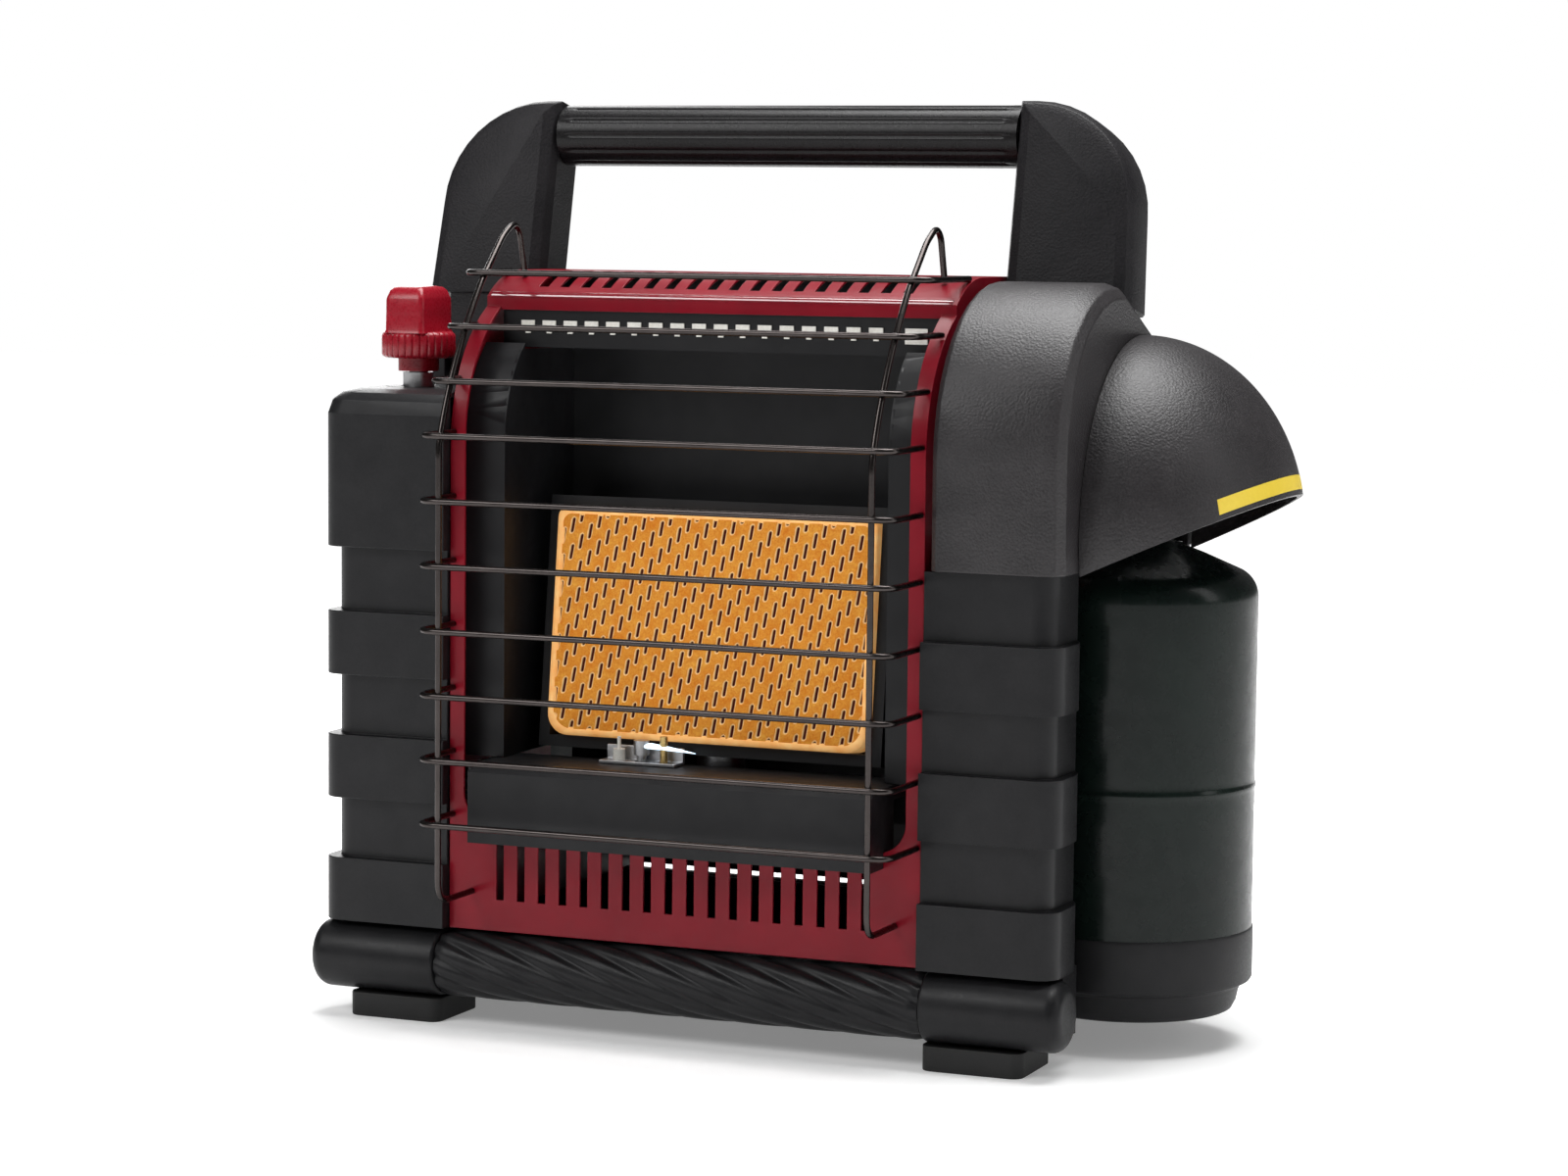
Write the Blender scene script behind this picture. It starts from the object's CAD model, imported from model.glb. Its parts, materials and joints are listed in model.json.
"""Looks of the portable propane heater: pieces, materials, floor, lights and camera."""
import json
import math

import bmesh
import bpy
from mathutils import Matrix, Vector


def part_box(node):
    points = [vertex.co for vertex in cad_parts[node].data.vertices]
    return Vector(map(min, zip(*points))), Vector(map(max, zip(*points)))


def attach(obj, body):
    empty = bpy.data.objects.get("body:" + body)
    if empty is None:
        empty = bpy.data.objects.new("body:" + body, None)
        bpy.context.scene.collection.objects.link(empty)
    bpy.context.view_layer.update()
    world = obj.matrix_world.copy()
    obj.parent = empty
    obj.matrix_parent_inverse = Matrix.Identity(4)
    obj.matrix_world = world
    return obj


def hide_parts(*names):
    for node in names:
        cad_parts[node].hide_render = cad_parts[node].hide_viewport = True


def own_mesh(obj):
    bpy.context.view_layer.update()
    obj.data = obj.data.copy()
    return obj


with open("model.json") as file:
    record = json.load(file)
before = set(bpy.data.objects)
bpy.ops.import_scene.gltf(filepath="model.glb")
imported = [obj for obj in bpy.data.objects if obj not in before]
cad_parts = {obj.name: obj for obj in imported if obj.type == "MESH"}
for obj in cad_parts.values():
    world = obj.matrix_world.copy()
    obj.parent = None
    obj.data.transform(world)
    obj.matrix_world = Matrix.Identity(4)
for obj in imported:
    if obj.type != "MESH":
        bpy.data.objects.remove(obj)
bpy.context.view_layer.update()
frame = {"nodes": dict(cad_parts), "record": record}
scene = bpy.context.scene

MM = 0.001
TAU = 2 * math.pi
LOOK = "look_"

BODY_OF = {
    node: body
    for body, nodes in frame["record"]["behaviour"]["bodies"].items()
    for node in nodes
}
SLOT_OF = {row["node"]: row["material_slot"] for row in frame["record"]["subparts"]}

# The body frame: x = 0 midway between the side covers, y = 0 at their front, z = 0 on the ground.
MID_X = (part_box("left_side_cover")[0].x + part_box("right_side_cover")[1].x) / 2
FRONT_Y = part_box("left_side_cover")[0].y


def at(x, y, z):
    """A point of the body frame, given in millimetres, in the scene."""
    return Vector((MID_X + x * MM, FRONT_Y + y * MM, z * MM))


def middle(node):
    lo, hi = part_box(node)
    return (lo + hi) / 2


# ---------------------------------------------------------------- camera, light, floor

# The camera was fitted to the photograph.
CAMERA_AT = at(644.6, -1441.4, 336.4)
CAMERA_TURN, CAMERA_DIP, CAMERA_ROLL = 22.53, 5.45, 0.59
FOCAL_MM = 91.44
WORLD_LIGHT = 0.10
FLOOR_HALF = 6.0
FLOOR_GLOW, FLOOR_GLOW_FAR = 0.22, 0.92
GLOW_FROM, GLOW_TO = 0.4, 1.6


def make_camera():
    camera = bpy.data.objects.new("camera", bpy.data.cameras.new("camera"))
    camera.data.sensor_width = 36
    camera.data.lens = FOCAL_MM
    camera.data.clip_start = 0.05
    camera.matrix_world = (
        Matrix.Translation(CAMERA_AT)
        @ Matrix.Rotation(math.radians(CAMERA_TURN), 4, "Z")
        @ Matrix.Rotation(math.radians(90 - CAMERA_DIP), 4, "X")
        @ Matrix.Rotation(math.radians(CAMERA_ROLL), 4, "Z")
    )
    scene.collection.objects.link(camera)
    scene.camera = camera


def area_light(name, place, target, size, power):
    light = bpy.data.lights.new(name, "AREA")
    light.shape = "RECTANGLE"
    light.size, light.size_y = size
    light.energy = power
    obj = bpy.data.objects.new(name, light)
    obj.location = place
    obj.rotation_euler = (Vector(target) - Vector(place)).to_track_quat("-Z", "Y").to_euler()
    scene.collection.objects.link(obj)


def make_stage():
    """A white studio: the backdrop is seen at full strength and lights the heater only a little."""
    world = bpy.data.worlds.new("studio")
    world.use_nodes = True
    tree = world.node_tree
    back = tree.nodes["Background"]
    path = tree.nodes.new("ShaderNodeLightPath")
    level = tree.nodes.new("ShaderNodeMapRange")
    level.inputs["To Min"].default_value = WORLD_LIGHT
    level.inputs["To Max"].default_value = 1.0
    tree.links.new(path.outputs["Is Camera Ray"], level.inputs["Value"])
    tree.links.new(level.outputs["Result"], back.inputs["Strength"])
    back.inputs["Color"].default_value = (1, 1, 1, 1)
    scene.world = world
    scene.view_settings.view_transform = "Standard"

    middle_of_all = Vector((0, 0, 0.19))
    area_light("key", (-0.9, -1.5, 1.5), middle_of_all, (1.0, 0.9), 19)
    area_light("side", (1.6, 0.1, 0.9), middle_of_all, (0.4, 1.3), 4)
    area_light("top", (0.1, 0.2, 1.6), middle_of_all, (1.3, 0.9), 39)
    area_light("rim", (-0.9, 1.1, 0.8), middle_of_all, (0.5, 1.2), 8)

    bm = bmesh.new()
    corners = ((-1, -1), (1, -1), (1, 1), (-1, 1))
    bm.faces.new([bm.verts.new((sx * FLOOR_HALF, sy * FLOOR_HALF, 0)) for sx, sy in corners])
    mesh = bpy.data.meshes.new("floor")
    bm.to_mesh(mesh)
    bm.free()
    floor = bpy.data.objects.new("floor", mesh)
    scene.collection.objects.link(floor)
    paint = Shader("floor_white", (0.93, 0.93, 0.93), 0.9, specular=0.1)
    paint.put("Emission Color", (1, 1, 1, 1))
    away = paint.node("ShaderNodeVectorMath", {0: paint.place}, operation="LENGTH").outputs["Value"]
    glow = paint.spread(away, FLOOR_GLOW, FLOOR_GLOW_FAR, GLOW_FROM, GLOW_TO)
    paint.put("Emission Strength", glow)
    mesh.materials.append(paint.material)


# ---------------------------------------------------------------- materials


class Shader:
    """A material's nodes, with short calls for the few kinds used here. Sizes are in millimetres."""

    def __init__(self, name, colour, roughness, metallic=0.0, coat=0.0, specular=0.5):
        self.material = bpy.data.materials.new(LOOK + name)
        self.material.use_nodes = True
        self.tree = self.material.node_tree
        self.surface = self.tree.nodes["Principled BSDF"]
        self.place = self.tree.nodes.new("ShaderNodeTexCoord").outputs["Object"]
        self.put("Base Color", (*colour, 1))
        self.put("Roughness", roughness)
        self.put("Metallic", metallic)
        self.put("Coat Weight", coat)
        self.put("Coat Roughness", 0.12)
        self.put("Specular IOR Level", specular)

    def put(self, socket, value):
        """Sets a socket of the surface to a constant, or links it to a node's output."""
        if isinstance(value, bpy.types.NodeSocket):
            self.tree.links.new(value, self.surface.inputs[socket])
        else:
            self.surface.inputs[socket].default_value = value

    def node(self, kind, inputs=(), **settings):
        made = self.tree.nodes.new(kind)
        for key, value in settings.items():
            setattr(made, key, value)
        for key, value in dict(inputs).items():
            if isinstance(value, bpy.types.NodeSocket):
                self.tree.links.new(value, made.inputs[key])
            else:
                made.inputs[key].default_value = value
        return made

    def stretched(self, scale):
        return self.node("ShaderNodeMapping", {"Vector": self.place, "Scale": scale}).outputs["Vector"]

    def noise(self, size, detail=3.0, roughness=0.55, scale=None):
        where = self.place if scale is None else self.stretched(scale)
        inputs = {"Vector": where, "Scale": 1 / (size * MM), "Detail": detail, "Roughness": roughness}
        return self.node("ShaderNodeTexNoise", inputs).outputs["Fac"]

    def cells(self, size):
        inputs = {"Vector": self.place, "Scale": 1 / (size * MM)}
        return self.node("ShaderNodeTexVoronoi", inputs, feature="F1").outputs["Distance"]

    def spread(self, value, low, high, start=0.3, end=0.7):
        inputs = {"Value": value, "From Min": start, "From Max": end, "To Min": low, "To Max": high}
        return self.node("ShaderNodeMapRange", inputs).outputs["Result"]

    def mix(self, factor, first, second):
        mixer = self.node("ShaderNodeMix", data_type="RGBA")
        for socket, value in ((0, factor), (6, first), (7, second)):
            if isinstance(value, bpy.types.NodeSocket):
                self.tree.links.new(value, mixer.inputs[socket])
            elif socket == 0:
                mixer.inputs[0].default_value = value
            else:
                mixer.inputs[socket].default_value = (*value, 1)
        return mixer.outputs[2]

    def total(self, first, second, weight=1.0):
        inputs = {0: second, 1: weight, 2: first}
        return self.node("ShaderNodeMath", inputs, operation="MULTIPLY_ADD").outputs[0]

    def bump(self, height, depth, strength=1.0, normal=None):
        inputs = {"Height": height, "Distance": depth * MM, "Strength": strength}
        if normal is not None:
            inputs["Normal"] = normal
        return self.node("ShaderNodeBump", inputs).outputs["Normal"]


def moulded(name, dark, light, rough, grain, depth, wave=0.25, specular=0.5):
    """Moulded plastic: fine grain, faint mottling, slightly uneven faces."""
    look = Shader(name, dark, rough, specular=specular)
    mottle = look.noise(14)
    fine = look.noise(grain, detail=4, roughness=0.7)
    tone = look.total(look.spread(mottle, 0, 0.6), look.spread(fine, 0, 0.55))
    look.put("Base Color", look.mix(tone, dark, light))
    look.put("Roughness", look.spread(fine, rough - 0.07, rough + 0.09))
    uneven = look.bump(look.noise(45, detail=1), wave)
    look.put("Normal", look.bump(fine, depth, normal=uneven))
    return look.material


def grained(name, dark, light, rough, pebble, depth, specular=0.35):
    """Coarsely grained moulding: pebbles of two sizes, paler on their tops."""
    look = Shader(name, dark, rough, specular=specular)
    pebbles = look.cells(pebble)
    specks = look.noise(pebble * 0.7, detail=5, roughness=0.8)
    height = look.total(look.spread(pebbles, 1, 0, 0.0, 0.8), specks, 0.8)
    tone = look.total(look.spread(look.noise(22), 0, 0.35), look.spread(specks, 0, 0.75, 0.4, 0.75))
    look.put("Base Color", look.mix(tone, dark, light))
    look.put("Roughness", look.spread(specks, rough - 0.1, rough + 0.12))
    look.put("Normal", look.bump(height, depth))
    return look.material


def enamel(name, dark, light, rough, coat, specular=0.3):
    """Glossy enamel on sheet steel: faint orange peel and tone."""
    look = Shader(name, dark, rough, coat=coat, specular=specular)
    look.put("Base Color", look.mix(look.spread(look.noise(30), 0, 1), dark, light))
    look.put("Roughness", look.spread(look.noise(8), rough - 0.05, rough + 0.08))
    peel = look.bump(look.noise(2.2, detail=2), 0.02)
    look.put("Normal", look.bump(look.noise(60, detail=1), 0.3, normal=peel))
    return look.material


def metal(name, colour, rough, stretch=(1, 1, 1), scratch=0.01, tarnish=0.12):
    """Bare or plated metal with drawn lines and a little tarnish."""
    look = Shader(name, colour, rough, metallic=1.0)
    lines = look.noise(1.2, detail=4, roughness=0.7, scale=stretch)
    dull = tuple(c * (1 - tarnish * 2) for c in colour)
    look.put("Base Color", look.mix(look.spread(look.noise(12), 0, 1), colour, dull))
    look.put("Roughness", look.spread(lines, rough - 0.08, rough + 0.12))
    look.put("Normal", look.bump(lines, scratch))
    return look.material


def rubbery(name, dark, light, rough):
    look = Shader(name, dark, rough, specular=0.35)
    fine = look.noise(0.9, detail=5, roughness=0.8)
    look.put("Base Color", look.mix(look.spread(fine, 0, 1), dark, light))
    look.put("Roughness", look.spread(fine, rough - 0.06, rough + 0.06))
    look.put("Normal", look.bump(fine, 0.06))
    return look.material


def glowing_tile(name):
    """Porous ceramic aglow: orange and yellow lands, cream beside the pits, dark red in them."""
    look = Shader(name, (0.75, 0.36, 0.08), 0.85, specular=0.1)
    pit = look.node("ShaderNodeAttribute", attribute_name="pit").outputs["Fac"]
    patches = look.noise(7, detail=4, roughness=0.7)
    grains = look.noise(0.8, detail=3)
    land = look.mix(look.spread(patches, 0, 1), (0.54, 0.18, 0.015), (0.65, 0.33, 0.05))
    land = look.mix(look.spread(grains, 0, 0.6), land, (0.46, 0.105, 0.011))
    edge = look.mix(look.spread(pit, 0, 1, 0.02, 0.25), land, (0.80, 0.52, 0.24))
    whole = look.mix(look.spread(pit, 0, 1, 0.25, 0.75), edge, (0.045, 0.006, 0.004))
    look.put("Base Color", whole)
    look.put("Emission Color", whole)
    look.put("Emission Strength", 0.29)
    look.put("Normal", look.bump(grains, 0.08))
    return look.material


def glowing_rim(name):
    look = Shader(name, (0.85, 0.50, 0.20), 0.8, specular=0.2)
    patches = look.noise(6, detail=4)
    tone = look.mix(look.spread(patches, 0, 1), (0.90, 0.52, 0.20), (0.80, 0.36, 0.10))
    look.put("Base Color", tone)
    look.put("Emission Color", tone)
    look.put("Emission Strength", 0.34)
    look.put("Normal", look.bump(look.noise(0.8), 0.08))
    return look.material


def flame(name):
    look = Shader(name, (0.6, 0.8, 1.0), 0.5)
    height = look.noise(2)
    look.put("Emission Color", look.mix(look.spread(height, 0, 1), (0.45, 0.75, 1.0), (0.95, 0.98, 1.0)))
    look.put("Emission Strength", 1.6)
    return look.material


def make_materials():
    made = [
        moulded("black_moulding", (0.006, 0.006, 0.007), (0.013, 0.013, 0.014), 0.40, 1.1, 0.03,
                specular=0.22),
        rubbery("rubber_foot", (0.010, 0.010, 0.010), (0.018, 0.018, 0.018), 0.6),
        grained("grained_plastic", (0.006, 0.005, 0.006), (0.036, 0.032, 0.034), 0.44, 1.1, 0.10,
                specular=0.46),
        grained("handle_plastic", (0.004, 0.004, 0.005), (0.020, 0.018, 0.020), 0.50, 1.1, 0.08,
                specular=0.2),
        moulded("grip_plastic", (0.004, 0.004, 0.004), (0.008, 0.007, 0.008), 0.30, 0.8, 0.02,
                specular=0.2),
        enamel("red_enamel", (0.165, 0.002, 0.009), (0.215, 0.004, 0.013), 0.34, 0.08,
               specular=0.16),
        enamel("lip_enamel", (0.155, 0.002, 0.009), (0.205, 0.004, 0.013), 0.14, 1.0,
               specular=0.8),
        enamel("black_enamel", (0.005, 0.005, 0.006), (0.010, 0.010, 0.011), 0.42, 0.0,
               specular=0.25),
        glowing_tile("ceramic_tile"),
        glowing_rim("tile_rim"),
        metal("plated_steel", (0.56, 0.56, 0.57), 0.32, (1, 1, 6)),
        metal("brass_part", (0.70, 0.50, 0.20), 0.28, (6, 1, 1)),
        moulded("white_ceramic", (0.70, 0.68, 0.62), (0.82, 0.80, 0.75), 0.25, 0.8, 0.01),
        moulded("wire_insulation", (0.03, 0.03, 0.035), (0.05, 0.05, 0.055), 0.5, 0.6, 0.02),
        moulded("pale_plastic", (0.55, 0.53, 0.46), (0.62, 0.60, 0.54), 0.45, 0.9, 0.02),
        moulded("red_plastic", (0.24, 0.003, 0.012), (0.31, 0.007, 0.018), 0.28, 1.2, 0.02,
                specular=0.4),
        metal("guard_chrome", (0.06, 0.052, 0.05), 0.22, (4, 4, 4), 0.006),
        metal("cast_regulator", (0.50, 0.50, 0.50), 0.45, (1, 1, 1), 0.05),
        moulded("collar_plastic", (0.010, 0.010, 0.011), (0.018, 0.018, 0.019), 0.5, 0.8, 0.03,
                specular=0.3),
        rubbery("seal_rubber", (0.010, 0.010, 0.010), (0.016, 0.016, 0.016), 0.65),
        enamel("green_paint", (0.003, 0.006, 0.005), (0.005, 0.010, 0.008), 0.26, 0.1,
               specular=0.16),
        moulded("ring_plastic", (0.007, 0.007, 0.008), (0.013, 0.013, 0.014), 0.46, 1.0, 0.03,
                specular=0.22),
        moulded("yellow_band", (0.72, 0.52, 0.03), (0.80, 0.60, 0.06), 0.4, 1.5, 0.01),
        flame("pilot_flame"),
    ]
    return {material.name.removeprefix(LOOK): material for material in made}


# ---------------------------------------------------------------- mesh helpers


def add_piece(name, bm, material, node=None, body=None, replaces=(), smooth=32, bevel=0.0):
    """Turns a bmesh into a piece that rides on a body, and stands for the CAD nodes that it replaces."""
    bmesh.ops.recalc_face_normals(bm, faces=bm.faces)
    mesh = bpy.data.meshes.new(name)
    bm.to_mesh(mesh)
    bm.free()
    mesh.materials.append(material)
    for face in mesh.polygons:
        face.use_smooth = True
    mesh.set_sharp_from_angle(angle=math.radians(smooth))
    obj = bpy.data.objects.new(name, mesh)
    scene.collection.objects.link(obj)
    if bevel:
        soften(obj, bevel, smooth)
    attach(obj, body or BODY_OF[node])
    if replaces:
        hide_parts(*replaces)
    return obj


def soften(obj, width, angle=32):
    edge = obj.modifiers.new("soft_edges", "BEVEL")
    edge.width = width * MM
    edge.segments = 3
    edge.limit_method = "ANGLE"
    edge.angle_limit = math.radians(angle)
    edge.use_clamp_overlap = True
    edge.harden_normals = True
    return edge


def dress(node, materials, bevel=0.0, smooth=30, material=None):
    """A smooth copy of a CAD node, with softened edges, that stands for it."""
    bm = bmesh.new()
    bm.from_mesh(frame["nodes"][node].data)
    bmesh.ops.remove_doubles(bm, verts=bm.verts, dist=1e-6)
    if node == "front_housing":
        lower_lip(bm)
    flat = math.radians(0.5)
    bmesh.ops.dissolve_limit(bm, angle_limit=flat, verts=bm.verts, edges=bm.edges)
    look = materials[material or SLOT_OF[node]]
    return add_piece("dressed_" + node, bm, look, node, replaces=[node], smooth=smooth, bevel=bevel)


def loft(bm, rings, around=True, ends=True):
    """Skins a list of rings that have equally many points."""
    rows = [[bm.verts.new(point) for point in ring] for ring in rings]
    count = len(rows[0])
    for low, high in zip(rows, rows[1:]):
        for i in range(count if around else count - 1):
            j = (i + 1) % count
            bm.faces.new((low[i], low[j], high[j], high[i]))
    if ends:
        bm.faces.new(rows[0][::-1])
        bm.faces.new(rows[-1])
    return rows


def tube(bm, path, radius, sides=12):
    """A round tube along a path. Its rings are carried along without twist."""
    count = len(path)
    across = None
    rings = []
    for i, point in enumerate(path):
        along = (path[min(i + 1, count - 1)] - path[max(i - 1, 0)]).normalized()
        across = along.orthogonal() if across is None else across - along * across.dot(along)
        across.normalize()
        third = along.cross(across)
        turn = [TAU * k / sides for k in range(sides)]
        rings.append([point + radius * (math.cos(a) * across + math.sin(a) * third) for a in turn])
    loft(bm, rings)


def rounded(points, radius, steps=6):
    """The same path with its corners turned into curves."""
    out = [points[0]]
    for before, corner, after in zip(points, points[1:], points[2:]):
        into, away = before - corner, after - corner
        cut = min(radius, into.length / 2, away.length / 2)
        start = corner + into.normalized() * cut
        end = corner + away.normalized() * cut
        for i in range(steps + 1):
            t = i / steps
            out.append((1 - t) ** 2 * start + 2 * t * (1 - t) * corner + t * t * end)
    out.append(points[-1])
    return out


def box(bm, low, high):
    """A plain block between two corners of the body frame."""
    flat = ((low[0], low[1]), (high[0], low[1]), (high[0], high[1]), (low[0], high[1]))
    loft(bm, [[at(x, y, z) for x, y in flat] for z in (low[2], high[2])])


def blob(bm, centre, radii, rings=6, sides=10):
    """A small ellipsoid, such as a weld."""
    made = bmesh.ops.create_uvsphere(bm, u_segments=sides, v_segments=rings, radius=1.0)
    scale = Matrix.Diagonal((*radii, 1))
    bmesh.ops.transform(bm, matrix=Matrix.Translation(centre) @ scale, verts=made["verts"])


def lathe(bm, profile, centre, axis="Z", sides=96, closed=True):
    """Turns an outline of (radius, height) pairs in millimetres about an axis through centre."""
    rings = []
    for k in range(sides):
        a = TAU * k / sides
        ring = []
        for radius, height in profile:
            x, y, z = radius * math.cos(a) * MM, radius * math.sin(a) * MM, height * MM
            ring.append(centre + (Vector((x, y, z)) if axis == "Z" else Vector((z, x, y))))
        rings.append(ring)
    rings.append(rings[0])
    loft(bm, rings, around=closed, ends=False)
    bmesh.ops.remove_doubles(bm, verts=bm.verts, dist=1e-7)
    bad = [face for face in bm.faces if face.calc_area() < 1e-14]
    bmesh.ops.delete(bm, geom=bad, context="FACES")


def arc(cx, cy, radius, start, end, steps):
    """Points of an arc, in degrees."""
    turns = [math.radians(start + (end - start) * i / steps) for i in range(steps + 1)]
    return [(cx + radius * math.cos(a), cy + radius * math.sin(a)) for a in turns]


# ---------------------------------------------------------------- the housing's louvred top

ARCH_R, ARCH_Y, ARCH_Z = 62.5, 68.0, 240.0
LOUVRE_R = 69.5
LIP_Y, LIP_LOW = 38.0, 294.8
LIP_ROLL = 2.3
STRIP_HALF, STRIP_Z = 96.5, 278.2
SPACERS, SPACER_PITCH, SPACER_X = 17, 9.63, -85
SPACER_Z, SPACER_BAR_Z, SPACER_TOP = 284, 286.9, 289.3
SPACER_HALF, SPACER_BAR_HALF = 1.1, 3
FALL_R = 48.0
FALL_Z = ARCH_Z + LOUVRE_R - FALL_R


def louvre_top(y):
    """Height of the louvred top at a depth y, in millimetres: it falls more tightly than the front."""
    return FALL_Z + math.sqrt(FALL_R**2 - (ARCH_Y - y) ** 2)


def lower_lip(bm):
    """Brings the louvred top of the housing's copy down to its lip."""
    slack = 0.1
    for vert in bm.verts:
        y, z = (vert.co.y - FRONT_Y) / MM, vert.co.z / MM
        if LIP_Y - slack < y < ARCH_Y and z > LIP_LOW:
            built = ARCH_Z + math.sqrt(LOUVRE_R**2 - (ARCH_Y - y) ** 2)
            share = min(1, (z - LIP_LOW) / (built - LIP_LOW))
            vert.co.z -= (built - louvre_top(y)) * share * MM


def make_lip(materials):
    """The lip's rolled edge, the black strip below it and the white spacers along the strip."""
    sunk = 0.25
    beyond = 5
    centre = (LIP_Y + LIP_ROLL - sunk, louvre_top(LIP_Y + LIP_ROLL) - LIP_ROLL + sunk)
    bm = bmesh.new()
    outline = arc(*centre, LIP_ROLL, 185, 60, 10) + [(LIP_Y + 1.5, centre[1] - 1)]
    ends = (-STRIP_HALF - beyond, STRIP_HALF + beyond)
    loft(bm, [[at(x, y, z) for y, z in outline] for x in ends])
    add_piece("lip_roll", bm, materials["lip_enamel"], "front_housing", smooth=60)

    bm = bmesh.new()
    box(bm, (-STRIP_HALF, LIP_Y + 1.5, STRIP_Z), (STRIP_HALF, LIP_Y + 2.5, LIP_LOW + 1.5))
    add_piece("lip_strip", bm, materials["black_enamel"], "burner_box")

    bm = bmesh.new()
    front, back = LIP_Y + 0.7, LIP_Y + 1.3
    stem, bar = SPACER_HALF, SPACER_BAR_HALF
    outline = [(-stem, SPACER_Z), (stem, SPACER_Z), (stem, SPACER_BAR_Z), (bar, SPACER_BAR_Z),
               (bar, SPACER_TOP), (-bar, SPACER_TOP), (-bar, SPACER_BAR_Z), (-stem, SPACER_BAR_Z)]
    for i in range(SPACERS):
        x = SPACER_X + SPACER_PITCH * i
        loft(bm, [[at(x + dx, y, z) for dx, z in outline] for y in (front, back)])
    plate_left, plate_right, plate_low = 81.5, 91, 283
    box(bm, (plate_left, front, plate_low), (plate_right, back, SPACER_TOP))
    add_piece("lip_spacers", bm, materials["white_ceramic"], body="heater")


# ---------------------------------------------------------------- guard

WIRE_R = 1.3
WIRE_GAP = 0.3
GUARD_OUT = 27
GUARD_LEAN, GUARD_BEND = 0.29, 0.0043
GUARD_HALF = 101.9
GUARD_CORNER = 8
LOW_ROW, LOW_PITCH = 87, 26.2
BEND_ROW, TOP_PITCH = 244.2, 21.6
GUARD_ROWS = [LOW_ROW + LOW_PITCH * i for i in range(7)]
GUARD_ROWS += [BEND_ROW + TOP_PITCH * i for i in (1, 2, 3)]
GUARD_UPRIGHTS = (-93, 93)
HOOK_Z, HOOK_BEND_Z = 55.5, 230
TOP_END_Y = 52
GUARD_NODES = ["guard_front", "guard_top", "guard_left_side", "guard_right_side", "guard_feet"]


def guard_y(z):
    """Depth of the guard's front at a height: upright at first, then leaning back in a curve."""
    rise = max(z - ARCH_Z, 0)
    return -GUARD_OUT + GUARD_LEAN * rise + GUARD_BEND * rise * rise


def guard_seat(z):
    """Where a cross wire ends on the housing."""
    level_part, behind_crown = 4, 12
    rise = max(z - ARCH_Z, 0)
    if rise > ARCH_R - level_part:
        return ARCH_Y - behind_crown
    run = math.sqrt(ARCH_R**2 - rise**2)
    return ARCH_Y - run - WIRE_GAP - rise / run * WIRE_R


def make_guard(materials):
    """The welded cage: cross wires that end on the housing, and uprights behind them."""
    bm = bmesh.new()
    weld = Vector((2.0, 1.0, 1.5)) * MM
    for z in GUARD_ROWS:
        y = guard_y(z)
        corners = [at(-GUARD_HALF, guard_seat(z), z), at(-GUARD_HALF, y, z)]
        corners += [at(GUARD_HALF, y, z), at(GUARD_HALF, guard_seat(z), z)]
        tube(bm, rounded(corners, GUARD_CORNER * MM, 8), WIRE_R * MM)
    behind = WIRE_R * 1.4
    top = louvre_top(TOP_END_Y) + 0.8
    for x in GUARD_UPRIGHTS:
        front = -GUARD_OUT + behind
        curve = [(guard_y(z) + behind, z) for z in range(240, 310, 6)]
        points = [(5.2, HOOK_Z), (front, HOOK_Z), (front, HOOK_BEND_Z)] + curve
        points += [(31, 323.5), (39, 328), (43, 328.5), (47, 325.5), (TOP_END_Y, top)]
        path = [at(x, y, z) for y, z in points]
        tube(bm, rounded(path[:4], 9 * MM, 6)[:-1] + rounded(path[3:], 3 * MM, 3), WIRE_R * MM)
        for z in GUARD_ROWS:
            blob(bm, at(x, guard_y(z) + behind / 2, z), weld)
    add_piece("guard_wires", bm, materials["guard_chrome"], "guard_front", replaces=GUARD_NODES)


# ---------------------------------------------------------------- bumper and handle


def make_bumper_bar(materials):
    """The middle of the front bumper: soft ribs that wind round it like a rope."""
    lo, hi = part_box("front_bumper_bar")
    centre = (lo + hi) / 2
    half = (hi.x - lo.x) / 2
    radius, depth, lobes, twist = 13.93, 1.1, 10, 330
    rows, sides = 180, 160
    sharpness, end_step, end_rows = 2.2, 0.8, 3
    bm = bmesh.new()
    rings = []
    for i in range(rows + 1):
        along = i / rows
        ring = []
        for k in range(sides):
            a = TAU * k / sides
            wave = 0.5 - 0.5 * math.cos(lobes * (a - math.radians(twist) * along))
            end = min(1, min(along, 1 - along) * rows / end_rows)
            r = (radius - depth * wave**sharpness - end_step * (1 - end)) * MM
            ring.append(centre + Vector(((2 * along - 1) * half, r * math.cos(a), r * math.sin(a))))
        rings.append(ring)
    loft(bm, rings)
    add_piece("twisted_bar", bm, materials["black_moulding"], "front_bumper_bar",
              replaces=["front_bumper_bar"])


def make_grip(materials):
    """The handle's grip: a bar with lengthwise grooves."""
    lo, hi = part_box("handle_grip")
    centre = (lo + hi) / 2
    half = (hi.x - lo.x) / 2
    radius, depth, grooves, sides = 12.98, 0.8, 12, 192
    bm = bmesh.new()
    stations = [(-half, 0), (5 * MM - half, 0), (7 * MM - half, 1)]
    stations += [(-offset, fade) for offset, fade in reversed(stations)]
    skins = []
    for offset, fade in stations:
        ring = []
        for k in range(sides):
            a = TAU * k / sides
            wave = max(0.0, math.cos(grooves * a)) ** 4
            r = (radius - depth * fade * wave) * MM
            ring.append(centre + Vector((offset, r * math.cos(a), r * math.sin(a))))
        skins.append(ring)
    loft(bm, skins)
    add_piece("ribbed_grip", bm, materials["grip_plastic"], "handle_grip", replaces=["handle_grip"])


# ---------------------------------------------------------------- burner

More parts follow.
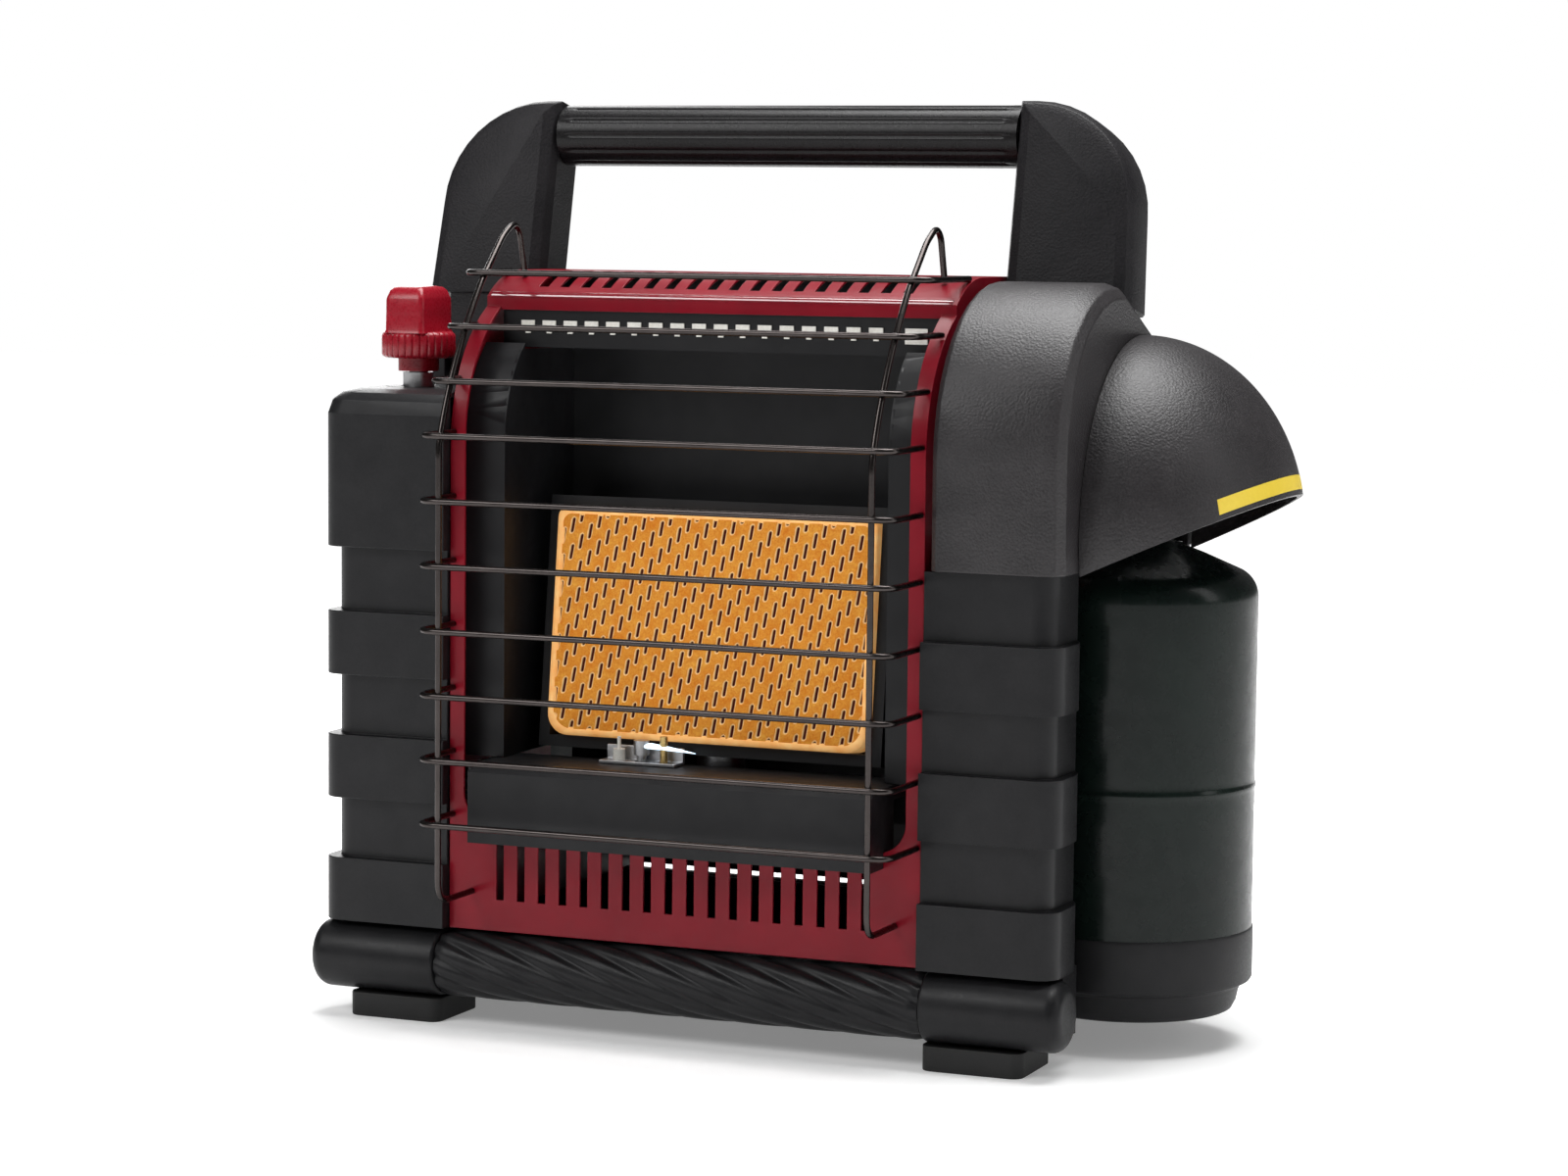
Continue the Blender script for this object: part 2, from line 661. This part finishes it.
TILE_W, TILE_H, TILE_T = 142.0, 94.0, 12.0
TILE_AT = (0, 34, 166)
TILE_LEAN = 6.5


def tile_point(x, depth, z):
    """A point of the leaning tile: x and z from its middle, depth behind its face, in millimetres."""
    lean = math.radians(TILE_LEAN)
    y = depth * math.cos(lean) + z * math.sin(lean)
    up = z * math.cos(lean) - depth * math.sin(lean)
    return at(TILE_AT[0] + x, TILE_AT[1] + y, TILE_AT[2] + up)


def pit_depth(x, z):
    """0 on the lands and 1 at the middle of a pit. The pits are short slots in slanting rows."""
    column_pitch, row_pitch, climb = 4.0, 11.0, 4.4
    half_w, half_h, slant = 0.8, 3.3, 0.14
    column = round(x / column_pitch)
    best = 0.0
    for c in (column - 1, column, column + 1):
        row = round((z - c * climb) / row_pitch)
        dz = z - c * climb - row * row_pitch
        dx = x - c * column_pitch - dz * slant
        reach = math.hypot(dx / half_w, max(abs(dz) - half_h + half_w, 0) / half_w)
        best = max(best, min(1.0, max(0.0, 1.35 - reach)))
    return best


def make_tile(materials):
    """The tile's glowing face with its pits, as a fine grid, and the rest of the tile."""
    step, margin, pit_deep, proud = 0.55, 2, 0.9, 0.15
    columns, rows = int((TILE_W - 2 * margin) / step), int((TILE_H - 2 * margin) / step)
    bm = bmesh.new()
    layer = bm.verts.layers.float.new("pit")
    corner = 8.0
    grid = {}
    for i in range(columns + 1):
        for j in range(rows + 1):
            x = -TILE_W / 2 + margin + i * step
            z = -TILE_H / 2 + margin + j * step
            if abs(x) + max(-z, 0) > TILE_W / 2 + TILE_H / 2 - corner - 1:
                continue
            pit = pit_depth(x, z)
            vert = bm.verts.new(tile_point(x, proud + pit_deep * pit, z))
            vert[layer] = pit
            grid[i, j] = vert
    for (i, j), vert in grid.items():
        ring = [grid.get(key) for key in ((i, j), (i + 1, j), (i + 1, j + 1), (i, j + 1))]
        if all(ring):
            bm.faces.new(ring)
    add_piece("tile_face", bm, materials["ceramic_tile"], "burner_tile", smooth=80)

    # the rest of the tile: a rim round the face and a plain back
    half_w, half_h = TILE_W / 2, TILE_H / 2
    low_r, high_r = 9, 4
    outline = arc(half_w - low_r, -half_h + low_r, low_r, -90, 0, 8)
    outline += arc(half_w - high_r, half_h - high_r, high_r, 0, 90, 6)
    outline += [(-x, z) for x, z in reversed(outline)]
    bm = bmesh.new()
    sections = ((3.4, 1.2), (3.0, 0.4), (2.2, -0.15), (1.0, -0.15), (0.3, 0.2), (0, 0.8), (0, TILE_T))
    rings = []
    for inset, depth in sections:
        shrink_x, shrink_z = 1 - inset / half_w, 1 - inset / half_h
        rings.append([tile_point(x * shrink_x, depth, z * shrink_z) for x, z in outline])
    loft(bm, rings)
    add_piece("tile_rim", bm, materials["tile_rim"], "burner_tile", replaces=["burner_tile"], smooth=40)


PILOT_Y = 23


def make_pilot_flame(materials):
    """A low flame that streaks along the foot of the tile: places, heights and radii."""
    bm = bmesh.new()
    stations = ((-27, 117.0, 0.4), (-25, 117.6, 1.0), (-21, 117.8, 1.2), (-14, 117.3, 0.9),
                (-7, 116.6, 0.5), (-1, 115.9, 0.15))
    sides, widen = 16, 2.2
    turns = [TAU * k / sides for k in range(sides)]
    rings = []
    for x, z, r in stations:
        ring = [(PILOT_Y + widen * r * math.cos(a), z + r * math.sin(a)) for a in turns]
        rings.append([at(x, y, height) for y, height in ring])
    loft(bm, rings)
    add_piece("pilot_flame", bm, materials["pilot_flame"], body="heater", smooth=80)


# ---------------------------------------------------------------- hood, dome, cylinder

DOME_R, DOME_OUT, DOME_Z = 77.0, 66.0, 210.0
DOME_WALL, DOME_SEAM = 2.5, 0.3
RIM_Z, RIM_SLOPE = 195.0, 0.457
COVER_X, MID_Y = 161.0, 98.0


def dome_ring(turn, wall=0.0, steps=48):
    """One arc of the dome from its seam to its tip, for a turn about its axis."""
    out = []
    for i in range(steps + 1):
        a = math.pi / 2 * i / steps
        r = (DOME_R - wall) * math.cos(a)
        x = (DOME_OUT - wall) * math.sin(a)
        x = COVER_X + DOME_SEAM + x * (1 - DOME_SEAM / DOME_OUT)
        out.append(at(x, MID_Y + r * math.cos(turn), DOME_Z + r * math.sin(turn)))
    return out


def make_dome(materials):
    """The domed cover as one shell, cut off along its sloping rim."""
    bm = bmesh.new()
    sides = 180
    turns = [TAU * k / sides for k in range(sides)]
    rings = [dome_ring(t) + dome_ring(t, DOME_WALL)[::-1] for t in turns]
    loft(bm, rings + [rings[0]], ends=False)
    bmesh.ops.remove_doubles(bm, verts=bm.verts, dist=1e-7)
    slope = math.atan(RIM_SLOPE)
    normal = Vector((-math.sin(slope), 0, math.cos(slope)))
    cut = bmesh.ops.bisect_plane(
        bm, geom=bm.verts[:] + bm.edges[:] + bm.faces[:], dist=1e-7,
        plane_co=at(COVER_X, 0, RIM_Z), plane_no=normal, clear_inner=True)
    edges = [part for part in cut["geom_cut"] if isinstance(part, bmesh.types.BMEdge)]
    bmesh.ops.triangle_fill(bm, edges=edges, use_beauty=True)
    add_piece("dome_shell", bm, materials["grained_plastic"], "regulator_dome",
              replaces=["regulator_dome"], smooth=40, bevel=0.7)


def dome_point(y, above_rim, proud):
    """A point of the dome's outside at a depth y, so high above its sloping rim, set off by proud."""
    flat = 1 - ((y - MID_Y) / DOME_R) ** 2
    drop = RIM_Z + above_rim - DOME_Z
    a = (1 / DOME_OUT) ** 2 + (RIM_SLOPE / DOME_R) ** 2
    b = drop * RIM_SLOPE / DOME_R**2
    reach = (-b + math.sqrt(b * b - a * ((drop / DOME_R) ** 2 - flat))) / a
    z = DOME_Z + drop + RIM_SLOPE * reach
    out = Vector((reach / DOME_OUT**2, (y - MID_Y) / DOME_R**2, (z - DOME_Z) / DOME_R**2)).normalized()
    return at(COVER_X + reach, y, z) + out * proud * MM


def make_dome_strip(materials):
    """A plain yellow strip along the outer part of the dome's rim."""
    heights = [2.2, 3.8, 5.4, 7.0, 8.6]
    first, pitch, stations = 47, 1.9, 49
    proud, sunk = 0.14, 0.4
    bm = bmesh.new()
    rings = []
    for i in range(stations):
        y = first + pitch * i
        ring = [dome_point(y, height, proud) for height in heights]
        rings.append(ring + [dome_point(y, height, -sunk) for height in reversed(heights)])
    loft(bm, rings)
    add_piece("rim_strip", bm, materials["yellow_band"], "regulator_dome")


def make_cylinder(materials):
    """The painted cylinder with its seam, and the plastic ring on its foot."""
    centre = middle("cylinder_shell")
    centre.z = 0
    r, low, seam, shoulder, crown = 49.5, 22.0, 106.0, 188.0, 205.5
    outline = [(0, low), (r - 16, low + 0.6)]
    outline += arc(r - 12, low + 13, 12, -82, 0, 14) + [(r, low + 16)]
    outline += [(r, seam - 4), (r, seam - 2.2), (r + 0.15, seam - 1.2), (r + 0.45, seam - 0.5)]
    outline += [(r + 0.45, seam + 0.5), (r + 0.15, seam + 1.2), (r, seam + 2.2), (r, seam + 4)]
    outline += [(r, shoulder - 9)] + arc(r - 12, shoulder - 6, 12, 0, 62, 16)
    outline += [(28, 199.2), (18, 203), (14.6, crown - 0.9), (13.5, crown - 0.1), (12.2, crown)]
    outline += [(12.2, crown - 4)]
    bm = bmesh.new()
    lathe(bm, outline, centre, sides=160, closed=False)
    add_piece("painted_cylinder", bm, materials["green_paint"], "cylinder_shell",
              replaces=["cylinder_shell"], smooth=25)

    ring = [(0, 21.6), (r - 5, 21.6), (r + 0.1, 34), (r + 0.1, 47.6), (r + 0.25, 48)]
    ring += [(r + 0.42, 47.4), (r + 0.5, 46.4), (r + 0.5, 27.6), (r - 0.2, 26.4), (r - 3.2, 25.2)]
    ring += [(r - 4.6, 23.2), (r - 5.8, 17.6), (r - 7.4, 14.6), (r - 8.6, 14), (r - 11.4, 14)]
    ring += [(r - 12, 14.8), (r - 12, 18), (0, 18)]
    bm = bmesh.new()
    lathe(bm, ring, centre, sides=160, closed=False)
    add_piece("foot_ring", bm, materials["ring_plastic"], "cylinder_base_ring",
              replaces=["cylinder_base_ring"], smooth=35)


# ---------------------------------------------------------------- knob


def make_knob(materials):
    """Flange with a notched edge, and a rounded grip that stands on it."""
    centre = middle("control_knob")
    lo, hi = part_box("control_knob")
    base = lo.z / MM
    bm = bmesh.new()
    notches, sides = 30, 180
    profile = [(8.5, base), (8.5, base + 5.3), (13.8, base + 5.5), (14.9, base + 6.1)]
    profile += [(15.4, base + 7.0), (15.4, base + 14.6), (14.9, base + 15.7)]
    profile += [(13.8, base + 16.4), (0, base + 16.8)]
    rings = []
    for k in range(sides):
        a = TAU * k / sides
        ring = []
        for radius, height in profile:
            wave = max(0.0, math.cos(notches * a)) ** 3 if radius > 14 else 0
            r = (radius - 0.55 * wave) * MM
            ring.append(Vector((centre.x + r * math.cos(a), centre.y + r * math.sin(a), height * MM)))
        rings.append(ring)
    loft(bm, rings + [rings[0]], around=False, ends=False)
    bmesh.ops.remove_doubles(bm, verts=bm.verts, dist=1e-7)
    add_piece("knob_flange", bm, materials["red_plastic"], "control_knob", smooth=35)

    bm = bmesh.new()
    top = hi.z / MM
    half, reach = 9.8, 14.4
    low = base + 16
    rings = []
    tall = top - low
    levels = ((0, 1.0), (1.2, 0.965), (8, 0.955), (14, 0.95), (tall - 4.4, 0.92),
              (tall - 2, 0.84), (tall - 0.6, 0.72), (tall - 0.05, 0.5))
    for rise, size in levels:
        outline = arc(half - 3, reach - 3, 3, 0, 90, 6)
        outline += [(-x, y) for x, y in reversed(outline)]
        outline += [(-x, -y) for x, y in outline]
        ring = []
        for x, y in outline:
            waist = 1 - 0.12 * math.cos(math.pi * y / reach / 2) * (1 if rise > 1 else 0.3)
            offset = Vector((x * size * waist, y * size, low + rise)) * MM
            ring.append(Vector((centre.x, centre.y, 0)) + offset)
        rings.append(ring)
    loft(bm, rings)
    add_piece("knob_grip", bm, materials["red_plastic"], "control_knob",
              replaces=["control_knob"], smooth=50)


def make_spring(materials):
    """The spring under the knob, which shortens as the knob is pushed."""
    spring = dress("return_spring", materials)
    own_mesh(spring)


# ---------------------------------------------------------------- all together

SOFT_EDGES = {
    "left_side_cover": 0.7, "right_side_cover": 0.7, "regulator_hood": 0.7,
    "front_housing": 0.35, "burner_visor": 0.5, "burner_box": 0.35, "rear_panel": 0.35,
    "handle_left_leg": 0.6, "handle_right_leg": 0.6, "front_bumper_ends": 0.5, "rear_bumper": 0.5,
    "foot_front_left": 0.8, "foot_front_right": 0.8, "foot_rear_left": 0.8, "foot_rear_right": 0.8,
    "base_pan": 0.6, "inlet_collar": 0.5, "pilot_bracket": 0.2, "regulator_bracket": 0.3,
}


HANDLE_LOOK = "handle_plastic"


def make_all():
    """Camera, stage and materials first, then the pieces."""
    make_camera()
    make_stage()
    materials = make_materials()
    for node, obj in frame["nodes"].items():
        obj.data.materials.clear()
        obj.data.materials.append(materials[SLOT_OF[node]])
    for node, width in SOFT_EDGES.items():
        dress(node, materials, width, material=HANDLE_LOOK if node.startswith("handle") else None)
    make_lip(materials)
    make_guard(materials)
    make_bumper_bar(materials)
    make_grip(materials)
    make_tile(materials)
    make_pilot_flame(materials)
    make_dome(materials)
    make_dome_strip(materials)
    make_cylinder(materials)
    make_knob(materials)
    make_spring(materials)


make_all()
